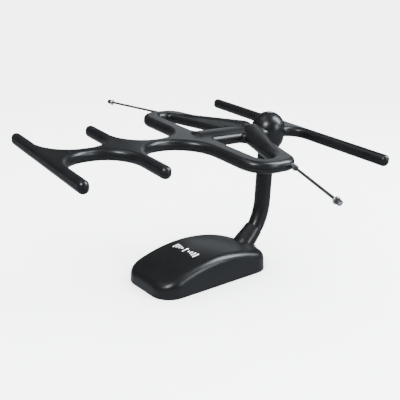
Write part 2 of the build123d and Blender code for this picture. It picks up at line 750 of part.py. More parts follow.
def head_hollow():
    """What the two shells enclose, away from the hub, around the bosses and the props."""
    low, high = HEAD_MID - CAVITY_HALF_HEIGHT, HEAD_MID + CAVITY_HALF_HEIGHT
    hollow = slab(head_plan(SHELL_INSET), low, high)
    for ridge in ridges(RIDGE_WALL):
        hollow += ridge
    hollow -= Cylinder(HUB_RADIUS - 0.8, 80)
    for side in (NEAR, FAR):
        hollow += rod_cylinder(side, ROD_START, ROD_MOUTH + 5, OUTER_RADIUS)
    for x, forward in HEAD_SCREWS:
        hollow -= Pos(x, -forward, HEAD_MID) * Cylinder(HEAD_BOSS_RADIUS, HEAD_SCREW_REACH)
    for x, forward in PROPS:
        for side in (NEAR, FAR):
            spot = Pos(side * x, -forward, HEAD_MID)
            hollow -= spot * Pos(0, 0, ELEMENT_THICKNESS / 2) * Cylinder(PROP_RADIUS, 20, align=SEATED)
            hollow -= spot * Pos(0, 0, -ELEMENT_THICKNESS / 2) * Cylinder(PROP_RADIUS, 20, align=HANGING)
    return hollow


def socket_hollow():
    """The hub's inside: a round socket open below, the liner's way in and the pad's well."""
    down = Pos(0, 0, -HUB_DROP)
    hollow = down * (Sphere(SOCKET_RADIUS) + mouth_cone(SOCKET_MOUTH_ANGLE, 2 * CUP_RADIUS))
    hollow += down * Cylinder(SOCKET_RADIUS, HUB_DROP + HEAD_MID, align=SEATED)
    hollow += down * Cylinder(PAD_RADIUS + 0.1, PAD_TOP + 0.1, align=SEATED)
    hollow += Cylinder(CLAMP_SHANK + 0.1, 3 * HUB_RADIUS)
    hollow += Pos(0, 0, CLAMP_SEAT) * Cylinder(CLAMP_WELL_RADIUS, HUB_RADIUS, align=SEATED)
    return hollow


def seam():
    """The shallow groove that runs round the head where its shells meet, as far as the hub."""
    band = slab(head_plan(), HEAD_MID - SEAM_HALF_HEIGHT, HEAD_MID + SEAM_HALF_HEIGHT)
    core = slab(head_plan(SEAM_DEPTH), HEAD_MID - 1, HEAD_MID + 1)
    core += Pos(0, 0, HEAD_MID) * Cylinder(HUB_RADIUS, 2)
    return band - core


def head_shells():
    """The upper and the lower shell, in the head frame."""
    body = head_form() - head_hollow() - socket_hollow() - seam()
    for x, forward in HEAD_SCREWS:
        spot = Pos(x, -forward, HEAD_UNDER)
        body -= spot * Cylinder(HEAD_SCREW_RADIUS, HEAD_SCREW_DEPTH, align=SEATED)
        body -= spot * Cylinder(HEAD_WELL_RADIUS, HEAD_WELL_DEPTH, align=SEATED)
    above = Box(HEAD_SPAN, 2 * HEAD_SPAN, 100, align=SEATED)
    upper = body & (Pos(0, 0, HEAD_MID) * above)
    lower = body & (Pos(0, 0, HEAD_MID) * Rot(180, 0, 0) * above)
    return upper, lower


def head_screws():
    screw = Rot(180, 0, 0) * cross_screw(2.2, 1.2, HEAD_SCREW_RADIUS, HEAD_SCREW_LENGTH)
    seat = HEAD_UNDER + HEAD_WELL_DEPTH
    return group([Pos(x, -forward, seat) * screw for x, forward in HEAD_SCREWS])


def clamp_screw():
    length = CLAMP_SEAT + HUB_DROP - PAD_TOP
    screw = cross_screw(CLAMP_HEAD_RADIUS, CLAMP_HEAD_HEIGHT, CLAMP_SHANK, length)
    return Pos(0, 0, CLAMP_SEAT) * screw


def pressure_pad():
    """The disc under the clamp screw, hollowed to the ball's curve."""
    pad = Cylinder(PAD_RADIUS, PAD_TOP, align=SEATED)
    pad -= Sphere(LINER_INNER)
    pad -= Cylinder(COUNTERBORE_RADIUS, 24)
    cap = Pos(0, 0, PAD_TOP) * Cylinder(PAD_RADIUS, PAD_CAP, align=HANGING)
    return Pos(0, 0, -HUB_DROP) * (pad + cap)


def strip(length, width, forward):
    """A flat metal element lying across the head."""
    return Pos(0, -forward, HEAD_MID) * Box(length, width, ELEMENT_THICKNESS)


def rod_direction(side):
    angle = math.radians(ROD_ANGLE)
    return Vector(side * math.cos(angle), -math.sin(angle), 0)


def rod_point(side, distance):
    """A point on a rod's line in the head frame."""
    return Vector(0, -ROD_APEX, HEAD_MID) + rod_direction(side) * distance


def rod_cylinder(side, start, end, radius):
    return cylinder_between(rod_point(side, start), rod_point(side, end), radius)


def dipole_strip():
    """The folded dipole: a front strip, two ends and two arms back to the middle."""
    ring = strip(2 * DIPOLE_FRONT[0], DIPOLE_WIDTH, DIPOLE_FRONT[1])
    for side in (NEAR, FAR):
        half = (DIPOLE_MIDDLE, DIPOLE_CORNER, DIPOLE_FRONT)
        middle, corner, front = [(side * x, -forward) for x, forward in half]
        ring += bar_on_plan(middle, corner, DIPOLE_WIDTH)
        ring += bar_on_plan(corner, front, DIPOLE_WIDTH)
        ring += Pos(*corner, HEAD_MID) * Cylinder(DIPOLE_WIDTH / 2, ELEMENT_THICKNESS)
    return ring


def bar_on_plan(start, end, width):
    """A flat bar between two points of the head's plan."""
    dx, dy = end[0] - start[0], end[1] - start[1]
    length = math.hypot(dx, dy)
    place = Pos((start[0] + end[0]) / 2, (start[1] + end[1]) / 2, HEAD_MID)
    return place * Rot(0, 0, math.degrees(math.atan2(dy, dx))) * Box(length, width, ELEMENT_THICKNESS)


def balun_board():
    top = HEAD_MID - ELEMENT_THICKNESS / 2
    return Pos(0, -BALUN_BOARD_FORWARD, top) * Box(*BALUN_BOARD_SIZE, align=HANGING)


def balun_core():
    """The two-hole ferrite core on the small board."""
    core = Box(*BALUN_CORE_SIZE, align=SEATED)
    for x in (-BALUN_HOLE_X, BALUN_HOLE_X):
        hole = Rot(90, 0, 0) * Cylinder(BALUN_HOLE_RADIUS, 2 * BALUN_CORE_SIZE[1])
        core -= Pos(x, 0, BALUN_CORE_SIZE[2] / 2) * hole
    return Pos(0, -BALUN_CORE_FORWARD, HEAD_MID - ELEMENT_THICKNESS / 2) * core


def outer_tube(side):
    """The rod's fixed tube, with a ferrule at its mouth."""
    tube = rod_cylinder(side, ROD_START, ROD_MOUTH, OUTER_RADIUS)
    tube += rod_cylinder(side, ROD_MOUTH - FERRULE_LENGTH, ROD_MOUTH, FERRULE_RADIUS)
    return tube - rod_cylinder(side, ROD_START + 1, ROD_MOUTH + 1, OUTER_BORE)


def middle_tube(side):
    """The sliding tube, with a small lip at its mouth."""
    tube = rod_cylinder(side, MIDDLE_START, MIDDLE_LIP_START, MIDDLE_RADIUS)
    tube += rod_cylinder(side, MIDDLE_LIP_START, MIDDLE_LIP_END, MIDDLE_LIP_RADIUS)
    return tube - rod_cylinder(side, MIDDLE_START - 1, MIDDLE_LIP_END + 1, MIDDLE_BORE)


def inner_rod(side):
    return rod_cylinder(side, INNER_START, TIP_START, INNER_RADIUS)


def tip_collar(side):
    ring = rod_cylinder(side, COLLAR_LOW, COLLAR_HIGH, COLLAR_RADIUS)
    ring = fillet(ring.edges().filter_by(GeomType.CIRCLE), COLLAR_EDGE_ROUND)
    return ring - rod_cylinder(side, COLLAR_LOW - 1, TIP_START, INNER_RADIUS)


def tip_knob(side):
    knob = rod_cylinder(side, COLLAR_HIGH, TIP_END, KNOB_RADIUS)
    return fillet(knob.edges().filter_by(GeomType.CIRCLE), KNOB_EDGE_ROUND)


def build():
    """Every node, placed in the part's frame."""
    os.makedirs("parts", exist_ok=True)
    write("base_cover", base_cover())
    write("base_plate", base_plate())
    write("non_slip_pad", non_slip_pad())
    write("ballast_weight", ballast_weight())
    write("base_screws", plate_screws(COVER_SCREWS, LONG_SCREW))
    write("ballast_screws", plate_screws(BALLAST_SCREWS, SHORT_SCREW))
    write("pedestal", pedestal())
    write("pedestal_screws", plate_screws(PEDESTAL_SCREWS, LONG_SCREW))
    write("circuit_board", circuit_board())
    write("board_spacers", board_spacers())
    write("board_screws", board_screws())
    write("board_parts", board_parts())
    write("matching_transformer", matching_transformer())
    write("coax_jack", coax_jack())
    write("jack_nut", jack_nut())
    write("jack_insulator", jack_insulator())
    write("jack_contact", jack_contact())
    write("jack_lead", jack_lead())
    write("printed_mark", printed_mark())

    write("arm_tube", arm_tube())
    write("arm_lead", arm_lead())
    write("pivot_pin", pivot_pin())
    write("pivot_nut", pivot_nut())
    write("swivel_washer", swivel_washer())
    write("swivel_clip", swivel_clip())
    write("ball_core", ball_core())
    write("ball_liner", ball_liner())

    place = head_location()
    upper, lower = head_shells()
    write("head_upper_shell", place * upper)
    write("head_lower_shell", place * lower)
    write("head_screws", place * head_screws())
    write("clamp_screw", place * clamp_screw())
    write("pressure_pad", place * pressure_pad())
    write("front_director", place * strip(*FRONT_STRIP, FRONT_BAR))
    write("rear_director", place * strip(*SECOND_STRIP, SECOND_BAR))
    write("reflector_strip", place * strip(*REAR_STRIP, REAR_BAR))
    write("dipole_strip", place * dipole_strip())
    write("balun_board", place * balun_board())
    write("balun_core", place * balun_core())
    for name, side in SIDES.items():
        write(f"{name}_outer_tube", place * outer_tube(side))
        write(f"{name}_middle_tube", place * middle_tube(side))
        write(f"{name}_inner_rod", place * inner_rod(side))
        write(f"{name}_tip_collar", place * tip_collar(side))
        write(f"{name}_tip_knob", place * tip_knob(side))


build()
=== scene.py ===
"""Indoor television antenna: materials, detailed metalwork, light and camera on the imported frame."""

import json
import math

import bmesh
import bpy
from mathutils import Matrix, Vector


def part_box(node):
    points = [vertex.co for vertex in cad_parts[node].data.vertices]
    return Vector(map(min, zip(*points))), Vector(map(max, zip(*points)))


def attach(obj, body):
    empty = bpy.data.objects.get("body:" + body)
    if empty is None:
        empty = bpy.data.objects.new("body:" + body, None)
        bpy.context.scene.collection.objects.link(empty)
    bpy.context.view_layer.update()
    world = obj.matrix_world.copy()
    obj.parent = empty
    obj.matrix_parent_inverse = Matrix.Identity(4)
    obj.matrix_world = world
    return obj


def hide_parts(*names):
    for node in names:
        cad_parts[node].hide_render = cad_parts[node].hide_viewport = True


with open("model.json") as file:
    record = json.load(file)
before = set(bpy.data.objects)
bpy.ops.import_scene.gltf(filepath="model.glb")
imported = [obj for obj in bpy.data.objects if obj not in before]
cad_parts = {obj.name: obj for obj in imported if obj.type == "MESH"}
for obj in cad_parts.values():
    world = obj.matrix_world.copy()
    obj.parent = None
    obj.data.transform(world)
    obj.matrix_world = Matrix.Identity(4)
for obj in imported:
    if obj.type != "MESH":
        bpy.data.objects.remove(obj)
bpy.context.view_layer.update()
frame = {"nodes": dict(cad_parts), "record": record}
scene = bpy.context.scene
MM = 0.001

# Camera, in metres and degrees
CAMERA_PLACE = (0.4873, -0.3691, 0.2721)
CAMERA_AZIMUTH = 52.74
CAMERA_ELEVATION = 16.46
CAMERA_LENS = 49.53
SENSOR_WIDTH = 36.0

# Head and rods, in millimetres and degrees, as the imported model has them
HEAD_ROLL = 7.0
ROD_ANGLE = 21.75
INNER_START = 121.0
TIP_START = 213.2
TIP_END = 220.0
NEAR, FAR = 1, -1
SIDES = {"near": NEAR, "far": FAR}

# The rod's end, in millimetres: a rolled ring, a dark cap and a rivet in the cap's face.
# A pair is how far along the rod and how far across it, but the crown's second value is a share of
# the recess's radius.
RING_OVERLAP = 0.6
RING_LENGTH = 2.1
RING_RADIUS = 3.9
RING_FRONT_CHAMFER = (0.35, 0.6)
RING_REAR_CHAMFER = (0.55, 0.7)
RING_ROUNDING = 0.3
CAP_LENGTH = TIP_END - TIP_START + RING_OVERLAP
CAP_RADIUS = 2.9
CAP_SHOULDER = (0.5, 0.35)
CAP_CHAMFER = 0.4
CAP_ROUNDING = 0.25
RECESS_RADIUS = 1.75
RECESS_DEPTH = 0.5
RECESS_FLARE = 0.1
RIVET_GAP = 0.1
RIVET_EDGE = (0.15, 0.25)
RIVET_CROWN = (0.02, 0.5)
RIVET_MIDDLE = 0.05
RIVET_ROUNDING = 0.15

# Coaxial socket on the rear wall, in millimetres. The crest's two values are shares of the pitch, and
# the relief groove is measured back from the start of the thread.
JACK_Z = 10.5
JACK_FRONT = 70.0
JACK_END = 90.9
JACK_RADIUS = 4.76
JACK_BORE = 3.6
BORE_CHAMFER = (0.1, 0.15)
JACK_HEX_FRONT = 71.0
JACK_HEX_REAR = 74.5
JACK_HEX_RADIUS = 6.4
THREAD_FRONT = 82.5
THREAD_PITCH = 0.794
THREAD_DEPTH = 0.42
THREAD_CREST = (0.42, 0.58)
RELIEF_FRONT, RELIEF_REAR = 0.6, 0.1
RELIEF_FLANK = 0.1
RELIEF_DEPTH = 0.45
NOSE_LENGTH = 0.4
NOSE_STEP = 0.7
NUT_FRONT = 79.4
NUT_REAR = 81.4
NUT_RADIUS = 6.6
NUT_CHAMFER_LENGTH = 0.3

# Meshes: steps around a turned piece and a nut, how corners are rounded, and the angle, in degrees,
# above which an edge stays sharp
ROUND_STEPS = 64
NUT_STEPS = 60
ROUNDING_STEPS = 4
ROUNDING_REACH = 0.45
SMOOTHING = 35.0
THREAD_SMOOTHING = 25.0
HALF_FLAT = math.pi / 6

# The part of a noise's range that most of its surface has
NOISE_LOW, NOISE_HIGH = 0.3, 0.7

# Surroundings: what the camera sees behind the object, what fills its shadows, what it reflects
SEEN_LEVEL = 5.3
FILL_LEVEL = 6.1
REFLECTED_ABOVE = 0.015
REFLECTED_BELOW = 0.6
REFLECTED_EDGE = (-0.25, -0.02)  # the height of the direction, from straight down at -1 to level at 0
SEEN_COLOUR = (1.0, 1.0, 1.0, 1)
FILL_COLOUR = (0.98, 0.99, 1.0, 1)
REFLECTED_COLOUR = (0.84, 0.92, 1.0, 1)

# Soft boxes, in metres and watts: what each looks at, its place from there, width, height and power
HUB = Vector((0.0, 0.106, 0.16))
BASE = Vector((0.0, 0.0, 0.03))
LAMP_COLOUR = (0.88, 0.95, 1.0)
SOFT_BOXES = {
    "right": (HUB, (1.12, 0.40, 0.19), 0.26, 0.40, 5.2),
    "front": (HUB, (0.42, -0.90, 0.66), 0.26, 0.34, 13.0),
    "rear_right": (BASE, (0.55, 0.80, 0.95), 0.42, 0.90, 32.0),
    "overhead": (HUB, (-0.35, -0.60, 1.40), 0.60, 0.60, 3.0),
    "rear_left": (BASE, (-1.00, 1.00, 0.62), 0.70, 0.60, 1.0),
}
FLOOR_HALF = 12.0

# Moulded materials: dark colour, light colour, roughness, grain per metre, grain depth in metres,
# and the specular level where it isn't the usual one
MOULDED = {
    "black_shell": ((0.0006, 0.0008, 0.0011), (0.0012, 0.0014, 0.0018), 0.33, 2400.0, 0.000006, 0.45),
    "black_mould": ((0.018, 0.018, 0.020), (0.030, 0.030, 0.033), 0.55, 1800.0, 0.00003),
    "part_dark": ((0.03, 0.03, 0.033), (0.06, 0.06, 0.065), 0.5, 2500.0, 0.00001),
    "ferrite_grey": ((0.07, 0.07, 0.075), (0.13, 0.13, 0.135), 0.62, 3000.0, 0.00003),
    "white_insulator": ((0.72, 0.71, 0.68), (0.84, 0.84, 0.82), 0.42, 2600.0, 0.00001),
    "acetal_ball": ((0.62, 0.61, 0.57), (0.76, 0.75, 0.72), 0.33, 2600.0, 0.000008),
    "acetal_liner": ((0.05, 0.05, 0.055), (0.10, 0.10, 0.11), 0.4, 2600.0, 0.000008),
    "lead_black": ((0.014, 0.014, 0.015), (0.030, 0.030, 0.032), 0.48, 1500.0, 0.00002),
}

# Plated hardware: dark colour, light colour, roughness
PLATED = {
    "steel_weight": ((0.30, 0.31, 0.32), (0.50, 0.51, 0.52), 0.42),
    "screw_steel": ((0.40, 0.40, 0.40), (0.62, 0.62, 0.62), 0.3),
    "clamp_steel": ((0.34, 0.35, 0.36), (0.60, 0.61, 0.62), 0.28),
    "black_steel": ((0.05, 0.05, 0.052), (0.12, 0.12, 0.125), 0.34),
    "nickel_plate": ((0.55, 0.53, 0.50), (0.75, 0.73, 0.69), 0.2),
    "contact_brass": ((0.52, 0.38, 0.16), (0.75, 0.58, 0.28), 0.25),
    "brass_spacer": ((0.50, 0.37, 0.16), (0.70, 0.55, 0.27), 0.3),
}

# Drawn metal on the rods: dark colour, light colour, roughness
DRAWN = {
    "rod_chrome": ((0.09, 0.09, 0.095), (0.17, 0.17, 0.175), 0.34),
    "bright_chrome": ((0.62, 0.62, 0.64), (0.84, 0.84, 0.86), 0.24),
}
STRIP_ALUMINIUM = ((0.55, 0.56, 0.58), (0.75, 0.76, 0.78), 0.35)

# A node whose material isn't the one of its slot
OWN_MATERIAL = {"clamp_screw": "clamp_steel"}


# ---------------------------------------------------------------- node helpers

def new_material(name):
    """An empty node material, its tree and its Principled shader."""
    material = bpy.data.materials.new(name)
    material.use_nodes = True
    tree = material.node_tree
    return material, tree, tree.nodes["Principled BSDF"]


def place(tree):
    """Where a point is on its object, in metres."""
    return tree.nodes.new("ShaderNodeTexCoord").outputs["Object"]


def scaled(tree, vector, scale):
    """The vector, stretched by three factors."""
    node = tree.nodes.new("ShaderNodeMapping")
    node.inputs["Scale"].default_value = scale
    tree.links.new(vector, node.inputs["Vector"])
    return node.outputs["Vector"]


def noise(tree, vector, scale, detail=3.0, rough=0.5):
    """A noise from 0 to 1 whose features are about 1/scale metres."""
    node = tree.nodes.new("ShaderNodeTexNoise")
    node.inputs["Scale"].default_value = scale
    node.inputs["Detail"].default_value = detail
    node.inputs["Roughness"].default_value = rough
    tree.links.new(vector, node.inputs["Vector"])
    return node.outputs["Fac"]


def cells(tree, vector, scale):
    """How far a point is from the middle of its cell, for cells about 1/scale metres wide."""
    node = tree.nodes.new("ShaderNodeTexVoronoi")
    node.inputs["Scale"].default_value = scale
    tree.links.new(vector, node.inputs["Vector"])
    return node.outputs["Distance"]


def spread(tree, value, out_low, out_high, low=NOISE_LOW, high=NOISE_HIGH):
    """The value's range low..high mapped to out_low..out_high and held there."""
    node = tree.nodes.new("ShaderNodeMapRange")
    for socket, number in (("From Min", low), ("From Max", high), ("To Min", out_low), ("To Max", out_high)):
        node.inputs[socket].default_value = number
    tree.links.new(value, node.inputs["Value"])
    return node.outputs["Result"]


def arithmetic(tree, operation, first, second):
    """Two values, or a value and a number, put together."""
    node = tree.nodes.new("ShaderNodeMath")
    node.operation = operation
    for socket, item in zip(node.inputs, (first, second)):
        if isinstance(item, (int, float)):
            socket.default_value = item
        else:
            tree.links.new(item, socket)
    return node.outputs[0]


def colour_mix(tree, factor, first, second):
    """Between two colours by a factor."""
    node = tree.nodes.new("ShaderNodeMix")
    node.data_type = "RGBA"
    tree.links.new(factor, node.inputs["Factor"])
    for socket, item in ((node.inputs["A"], first), (node.inputs["B"], second)):
        if isinstance(item, tuple):
            socket.default_value = (*item, 1)
        else:
            tree.links.new(item, socket)
    return node.outputs["Result"]


def add_bump(tree, shader, height, distance, strength=1.0):
    """A bump whose full height is the distance, in metres."""
    node = tree.nodes.new("ShaderNodeBump")
    node.inputs["Distance"].default_value = distance
    node.inputs["Strength"].default_value = strength
    tree.links.new(height, node.inputs["Height"])
    tree.links.new(node.outputs["Normal"], shader.inputs["Normal"])


# ---------------------------------------------------------------- materials

def moulded_plastic(name, dark, light, roughness, grain, grain_depth, specular=0.5):
    """Injection-moulded plastic: a fine spark-eroded grain, faint flow marks and handling smudges."""
    material, tree, shader = new_material(name)
    point = place(tree)
    flow = noise(tree, scaled(tree, point, (1.0, 0.35, 1.0)), scale=55.0, detail=2.0)
    smudge = noise(tree, point, scale=28.0, detail=4.0, rough=0.6)
    fine = noise(tree, point, scale=grain, detail=4.0, rough=0.65)
    tone = spread(tree, flow, 0.0, 1.0)
    tree.links.new(colour_mix(tree, tone, dark, light), shader.inputs["Base Color"])
    base_rough = spread(tree, smudge, roughness - 0.035, roughness + 0.045)
    grain_rough = spread(tree, fine, -0.04, 0.04, low=0.25, high=0.75)
    tree.links.new(arithmetic(tree, "ADD", base_rough, grain_rough), shader.inputs["Roughness"])
    shader.inputs["Specular IOR Level"].default_value = specular
    add_bump(tree, shader, fine, grain_depth)
    return material


def stretched(tree, point, lengthwise, factor):
    """The point, pressed together along one direction, so that a noise there draws out into lines."""
    along = tree.nodes.new("ShaderNodeVectorMath")
    along.operation = "DOT_PRODUCT"
    tree.links.new(point, along.inputs[0])
    along.inputs[1].default_value = lengthwise
    back = tree.nodes.new("ShaderNodeVectorMath")
    back.operation = "SCALE"
    back.inputs[0].default_value = lengthwise
    tree.links.new(arithmetic(tree, "MULTIPLY", along.outputs["Value"], factor - 1), back.inputs["Scale"])
    pressed = tree.nodes.new("ShaderNodeVectorMath")
    pressed.operation = "ADD"
    tree.links.new(point, pressed.inputs[0])
    tree.links.new(back.outputs["Vector"], pressed.inputs[1])
    return pressed.outputs["Vector"]


def polished_metal(name, dark, light, roughness, lengthwise):
    """Plated metal drawn or turned along one direction: fine lines that follow it, and faint stains."""
    material, tree, shader = new_material(name)
    point = place(tree)
    lines = noise(tree, stretched(tree, point, lengthwise, 0.015), scale=2600.0, detail=3.0, rough=0.6)
    stains = noise(tree, point, scale=160.0, detail=4.0, rough=0.6)
    tone = spread(tree, arithmetic(tree, "ADD", lines, stains), 0.0, 1.0, low=0.7, high=1.3)
    tree.links.new(colour_mix(tree, tone, dark, light), shader.inputs["Base Color"])
    shader.inputs["Metallic"].default_value = 1.0
    rough = spread(tree, lines, roughness * 0.75, roughness * 1.3)
    tree.links.new(rough, shader.inputs["Roughness"])
    add_bump(tree, shader, lines, distance=0.000004)
    return material


def plated_steel(name, dark, light, roughness):
    """Zinc or nickel plating on small hardware: a faint crystalline mottle."""
    material, tree, shader = new_material(name)
    point = place(tree)
    crystals = cells(tree, point, scale=900.0)
    fine = noise(tree, point, scale=3200.0, detail=2.0)
    tone = spread(tree, crystals, 0.0, 1.0, low=0.1, high=0.7)
    tree.links.new(colour_mix(tree, tone, dark, light), shader.inputs["Base Color"])
    shader.inputs["Metallic"].default_value = 1.0
    rough = spread(tree, fine, roughness - 0.05, roughness + 0.08)
    tree.links.new(rough, shader.inputs["Roughness"])
    add_bump(tree, shader, fine, distance=0.000006)
    return material


def foam_rubber(name):
    """A soft non-slip sheet with fine closed pores."""
    material, tree, shader = new_material(name)
    point = place(tree)
    pores = cells(tree, point, scale=1400.0)
    tone = spread(tree, pores, 0.0, 1.0, low=0.0, high=0.6)
    colour = colour_mix(tree, tone, (0.012, 0.012, 0.013), (0.045, 0.045, 0.047))
    tree.links.new(colour, shader.inputs["Base Color"])
    rough = spread(tree, noise(tree, point, scale=300.0), 0.75, 0.92)
    tree.links.new(rough, shader.inputs["Roughness"])
    add_bump(tree, shader, pores, distance=0.00008)
    return material


def circuit_laminate(name):
    """Green solder resist over faint copper tracks."""
    material, tree, shader = new_material(name)
    point = place(tree)
    tracks = tree.nodes.new("ShaderNodeTexBrick")
    tracks.inputs["Scale"].default_value = 140.0
    tracks.inputs["Mortar Size"].default_value = 0.03
    tree.links.new(point, tracks.inputs["Vector"])
    colour = colour_mix(tree, tracks.outputs["Fac"], (0.018, 0.105, 0.045), (0.05, 0.2, 0.09))
    tree.links.new(colour, shader.inputs["Base Color"])
    rough = spread(tree, noise(tree, point, scale=500.0), 0.3, 0.42)
    tree.links.new(rough, shader.inputs["Roughness"])
    add_bump(tree, shader, tracks.outputs["Fac"], distance=0.00003)
    return material


def printed_ink(name):
    """Pad-printed ink: nearly white, thin and greyer in places."""
    material, tree, shader = new_material(name)
    point = place(tree)
    cover = noise(tree, point, scale=1500.0, detail=4.0, rough=0.7)
    tone = spread(tree, cover, 0.0, 1.0, low=0.25, high=0.5)
    colour = colour_mix(tree, tone, (0.42, 0.43, 0.45), (0.78, 0.79, 0.8))
    tree.links.new(colour, shader.inputs["Base Color"])
    rough = spread(tree, cover, 0.45, 0.6)
    tree.links.new(rough, shader.inputs["Roughness"])
    add_bump(tree, shader, cover, distance=0.00001)
    return material


def rod_direction(side):
    """The unit direction of a rod, outwards, with the head rolled."""
    angle = math.radians(ROD_ANGLE)
    roll = Matrix.Rotation(math.radians(HEAD_ROLL), 3, "Y")
    return roll @ Vector((side * math.cos(angle), -math.sin(angle), 0))


def all_materials():
    """Every material by its name: one for each slot, and the rods' metal once for each side."""
    made = {name: moulded_plastic(name, *look) for name, look in MOULDED.items()}
    made.update({name: plated_steel(name, *look) for name, look in PLATED.items()})
    made["aluminium_strip"] = polished_metal("aluminium_strip", *STRIP_ALUMINIUM, (1.0, 0.0, 0.0))
    made["board_green"] = circuit_laminate("board_green")
    made["pad_rubber"] = foam_rubber("pad_rubber")
    made["mark_ink"] = printed_ink("mark_ink")
    for side_name, side in SIDES.items():
        for slot, look in DRAWN.items():
            name = f"{side_name}_{slot}"
            made[name] = polished_metal(name, *look, tuple(rod_direction(side)))
    return made


MATERIALS = all_materials()


def material_for(node, slot):
    """The material of a CAD node, from the record's slot and its side."""
    for side_name in SIDES:
        if node.startswith(side_name) and f"{side_name}_{slot}" in MATERIALS:
            return MATERIALS[f"{side_name}_{slot}"]
    return MATERIALS[OWN_MATERIAL.get(node, slot)]


def dress_cad_nodes():
    """Every CAD node gets the procedural material of its slot."""
    for part in frame["record"]["subparts"]:
        target = frame["nodes"][part["node"]]
        chosen = material_for(part["node"], part["material_slot"])
        if not target.material_slots:
            target.data.materials.append(chosen)
        for slot in target.material_slots:
            slot.material = chosen


# ---------------------------------------------------------------- detailed metalwork

def mesh_object(name, build, material, smooth_angle=SMOOTHING):
    """A new object whose mesh the build function fills, smooth except at its sharp edges."""
    mesh = bpy.data.meshes.new(name)
    shape = bmesh.new()
    build(shape)
    bmesh.ops.recalc_face_normals(shape, faces=shape.faces)
    shape.to_mesh(mesh)
    shape.free()
    mesh.materials.append(material)
    mesh.shade_smooth()
    mesh.set_sharp_from_angle(angle=math.radians(smooth_angle))
    thing = bpy.data.objects.new(name, mesh)
    scene.collection.objects.link(thing)
    return thing


def turned(profile, start, direction, steps=ROUND_STEPS):
    """A build function for a closed turned shape: profile is (along, radius), in millimetres."""
    axis = Vector(direction).normalized()
    across = axis.orthogonal().normalized()
    other = axis.cross(across)

    def build(shape):
        rings = []
        for along, radius in profile:
            centre = Vector(start) + axis * along * MM
            if radius == 0:
                rings.append([shape.verts.new(centre)])
                continue
            rings.append([
                shape.verts.new(centre + (across * math.cos(turn) + other * math.sin(turn)) * radius * MM)
                for turn in (2 * math.pi * step / steps for step in range(steps))
            ])
        for first, second in zip(rings, rings[1:]):
            join_rings(shape, first, second, steps)

    return build


def join_rings(shape, first, second, steps):
    """Faces between two rings, either of which may be a single point."""
    for step in range(steps):
        following = (step + 1) % steps
        corners = [first[step % len(first)], first[following % len(first)]]
        corners += [second[following % len(second)], second[step % len(second)]]
        unique = list(dict.fromkeys(corners))
        if len(unique) > 2:
            shape.faces.new(unique)


def rod_point(side_name, distance):
    """A point on a rod's axis, found from its inner rod's box, in metres."""
    low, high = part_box(f"{side_name}_inner_rod")
    middle = (Vector(low) + Vector(high)) / 2
    return middle + rod_direction(SIDES[side_name]) * (distance - (INNER_START + TIP_START) / 2) * MM


def rounded_profile(points, radius, steps=ROUNDING_STEPS):
    """The profile with each of its inner corners rounded by a few short steps."""
    result = [points[0]]
    for before, here, after in zip(points, points[1:], points[2:]):
        into = Vector(before) - Vector(here)
        out = Vector(after) - Vector(here)
        reach = min(radius, into.length * ROUNDING_REACH, out.length * ROUNDING_REACH)
        start = Vector(here) + into.normalized() * reach
        end = Vector(here) + out.normalized() * reach
        for step in range(steps + 1):
            part = step / steps
            curve = start * (1 - part) ** 2 + Vector(here) * 2 * part * (1 - part) + end * part**2
            result.append((curve[0], max(curve[1], 0.0)))
    result.append(points[-1])
    return result


def ring_profile():
    """The rolled ring, from its front face to its rear one."""
    front, rear = RING_FRONT_CHAMFER, RING_REAR_CHAMFER
    return [
        (0, 0),
        (0, RING_RADIUS - front[1]),
        (front[0], RING_RADIUS),
        (RING_LENGTH - rear[0], RING_RADIUS),
        (RING_LENGTH, RING_RADIUS - rear[1]),
        (RING_LENGTH, 0),
    ]


def cap_profile():
    """The dark cap behind the ring, with a round recess in its end."""
    return [
        (RING_LENGTH, 0),
        (RING_LENGTH, CAP_RADIUS - CAP_SHOULDER[1]),
        (RING_LENGTH + CAP_SHOULDER[0], CAP_RADIUS),
        (CAP_LENGTH - CAP_CHAMFER, CAP_RADIUS),
        (CAP_LENGTH, CAP_RADIUS - CAP_CHAMFER),
        (CAP_LENGTH, RECESS_RADIUS + RECESS_FLARE),
        (CAP_LENGTH - RECESS_DEPTH, RECESS_RADIUS),
        (CAP_LENGTH - RECESS_DEPTH, 0),
    ]


def rivet_profile():
    """The rod's own end, riveted over in the cap's recess."""
    return [
        (CAP_LENGTH - RECESS_DEPTH, 0),
        (CAP_LENGTH - RECESS_DEPTH, RECESS_RADIUS - RIVET_GAP),
        (CAP_LENGTH - RIVET_EDGE[0], RECESS_RADIUS - RIVET_EDGE[1]),
        (CAP_LENGTH - RIVET_CROWN[0], RECESS_RADIUS * RIVET_CROWN[1]),
        (CAP_LENGTH - RIVET_MIDDLE, 0),
    ]


def tip_pieces(side_name):
    """The rod's end: a rolled ring and a dark cap whose face shows the bright end of the rod."""
    start = rod_point(side_name, TIP_START - RING_OVERLAP)
    bright = MATERIALS[f"{side_name}_bright_chrome"]
    pieces = []
    for name, profile, rounding, material in (
        ("ring", ring_profile(), RING_ROUNDING, bright),
        ("cap", cap_profile(), CAP_ROUNDING, MATERIALS["black_steel"]),
        ("rivet", rivet_profile(), RIVET_ROUNDING, bright),
    ):
        build = turned(rounded_profile(profile, rounding), start, rod_direction(SIDES[side_name]))
        pieces.append(mesh_object(f"{side_name}_tip_{name}", build, material))
    ring, cap, rivet = pieces
    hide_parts(f"{side_name}_tip_collar")
    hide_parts(f"{side_name}_tip_knob")
    for piece in pieces:
        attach(piece, f"{side_name}_tip")


